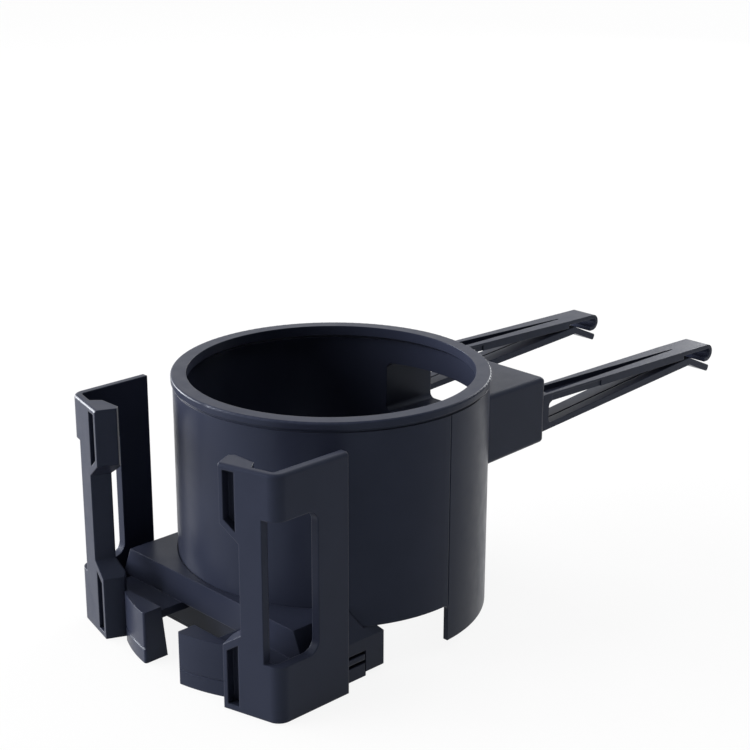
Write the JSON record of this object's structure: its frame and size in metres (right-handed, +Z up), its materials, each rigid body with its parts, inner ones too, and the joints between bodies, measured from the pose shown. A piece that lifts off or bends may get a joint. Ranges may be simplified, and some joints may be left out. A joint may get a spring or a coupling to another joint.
{
  "type": "car cup holder",
  "caption": "Vent-clip car cup holder: round cup fed by a rear air duct, closing-jaw vent clips behind it, and a phone cradle with sliding clawed side arms on its front",
  "frame": {"origin": "centre of the cup's mouth, on the top face of its rim", "axes": "+Y to the air vent, -Y to the user, +X to the user's right, +Z up along the cup's axis"},
  "size_m": [0.0766, 0.1767, 0.0617],
  "materials": {
    "black_plastic": "satin black moulding with a faint cool cast and a fine texture",
    "screw_steel": "plain zinc-plated steel"
  },
  "bodies": {
    "holder": {"cup_body": "black_plastic", "vent_clip_right": "black_plastic", "vent_clip_left": "black_plastic", "cradle_base": "black_plastic", "cradle_cover": "black_plastic", "strap_screws": "screw_steel", "cover_screws": "screw_steel"},
    "right_arm": {"arm_right": "black_plastic"},
    "left_arm": {"arm_left": "black_plastic"}
  },
  "joints": [
    {"name": "right_arm_slide", "type": "slide", "parent": "holder", "child": "right_arm", "axis": [1, 0, 0], "range_m": [0, 0.013]},
    {"name": "left_arm_slide", "type": "slide", "parent": "holder", "child": "left_arm", "axis": [-1, 0, 0], "range_m": [0, 0.013]}
  ]
}
